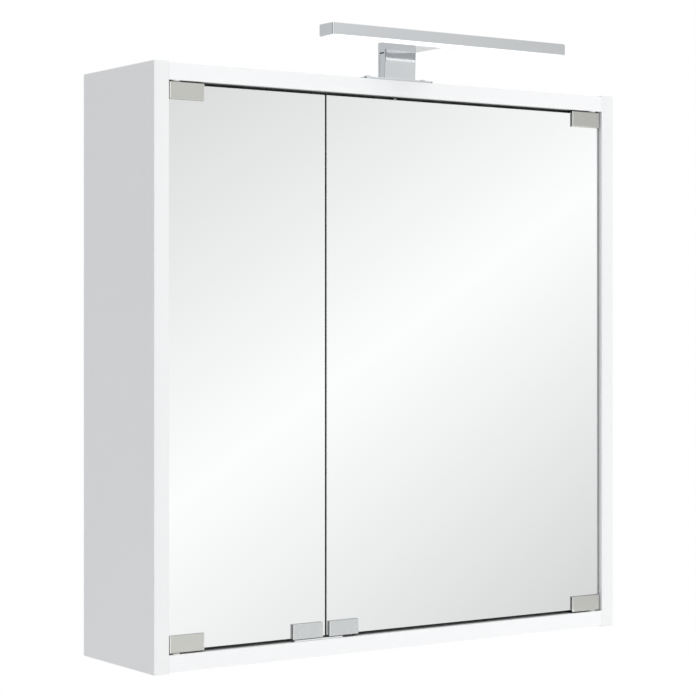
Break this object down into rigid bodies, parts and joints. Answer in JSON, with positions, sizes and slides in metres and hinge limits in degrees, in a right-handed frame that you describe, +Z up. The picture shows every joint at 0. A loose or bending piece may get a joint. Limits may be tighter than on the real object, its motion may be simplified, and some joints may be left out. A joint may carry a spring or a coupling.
{
  "type": "medicine cabinet with mirror",
  "caption": "White wall cabinet with frameless mirror doors, one narrow and one wide, on clamp hinges, glass shelves inside, and a slim chrome LED lamp on an arm above.",
  "frame": {"origin": "on the wall plane, at the middle of the top board's rear edge", "axes": "+X right as seen from the front, +Y into the wall, +Z up; the doors face -Y"},
  "size_m": [0.6, 0.242, 0.6447],
  "materials": {
    "white_board": "white foil on chipboard, satin",
    "back_board": "white lacquered hardboard, matt",
    "mirror_glass": "silvered float glass with seamed edges",
    "shelf_glass": "clear float glass with ground edges",
    "clip_chrome": "satin chrome on die-cast zinc",
    "lamp_chrome": "bright chrome",
    "zinc_steel": "zinc-plated steel",
    "beech_dowel": "fluted beech",
    "cam_zinc": "die-cast zinc",
    "white_nylon": "moulded nylon",
    "white_abs": "moulded ABS",
    "clear_liner": "soft PVC",
    "ferrite": "sintered ferrite",
    "opal_diffuser": "opal acrylic",
    "strip_board": "white solder mask on circuit board",
    "led_phosphor": "phosphor under silicone",
    "white_pvc": "soft PVC sheath",
    "grey_rubber": "moulded rubber"
  },
  "bodies": {
    "cabinet": {"left_side_board": "white_board", "right_side_board": "white_board", "top_board": "white_board", "bottom_board": "white_board", "back_panel": "back_board", "dowels": "beech_dowel", "cam_bolts": "zinc_steel", "cams": "cam_zinc", "hinge_bushes": "white_nylon", "lower_shelf": "shelf_glass", "upper_shelf": "shelf_glass", "shelf_pins": "zinc_steel", "hanger_bodies": "white_nylon", "hanger_hooks": "zinc_steel", "hanger_adjusters": "zinc_steel", "hanger_screws": "zinc_steel", "catch_plate": "zinc_steel", "catch_housing": "white_nylon", "catch_magnets": "ferrite", "catch_screws": "zinc_steel", "lamp_foot": "lamp_chrome", "lamp_foot_screws": "zinc_steel", "lamp_arm": "lamp_chrome", "lamp_arm_screws": "zinc_steel", "lamp_housing": "lamp_chrome", "lamp_end_caps": "lamp_chrome", "lamp_diffuser": "opal_diffuser", "led_strip": "strip_board", "led_chips": "led_phosphor", "lamp_lead": "white_pvc", "lead_grommet": "grey_rubber", "lead_clips": "white_nylon", "led_driver": "white_abs", "led_driver_screws": "zinc_steel", "supply_lead": "white_pvc", "switch_box_housing": "white_abs", "switch_box_cover": "white_abs", "switch_box_screws": "zinc_steel", "socket_insert": "white_abs", "mains_gland": "white_nylon", "cable_outlet": "white_nylon"},
    "left_door": {"left_mirror": "mirror_glass", "left_top_hinge_clip": "clip_chrome", "left_bottom_hinge_clip": "clip_chrome", "left_clip_liners": "clear_liner", "left_pressure_plates": "zinc_steel", "left_clamp_screws": "zinc_steel", "left_pivot_pins": "zinc_steel", "left_grip_clip": "clip_chrome", "left_strike_plate": "zinc_steel"},
    "right_door": {"right_mirror": "mirror_glass", "right_top_hinge_clip": "clip_chrome", "right_bottom_hinge_clip": "clip_chrome", "right_clip_liners": "clear_liner", "right_pressure_plates": "zinc_steel", "right_clamp_screws": "zinc_steel", "right_pivot_pins": "zinc_steel", "right_grip_clip": "clip_chrome", "right_strike_plate": "zinc_steel"},
    "rocker": {"switch_rocker": "white_abs"}
  },
  "joints": [
    {"name": "left_door_hinge", "type": "hinge", "parent": "cabinet", "child": "left_door", "pos_m": [-0.2723, -0.1435, -0.2932], "axis": [0, 0, -1], "range_deg": [0, 110]},
    {"name": "right_door_hinge", "type": "hinge", "parent": "cabinet", "child": "right_door", "pos_m": [0.2723, -0.1435, -0.2932], "axis": [0, 0, 1], "range_deg": [0, 110]},
    {"name": "rocker_pivot", "type": "hinge", "parent": "cabinet", "child": "rocker", "pos_m": [0.253, -0.095, -0.0865], "axis": [-1, 0, 0], "range_deg": [0, 14]}
  ]
}
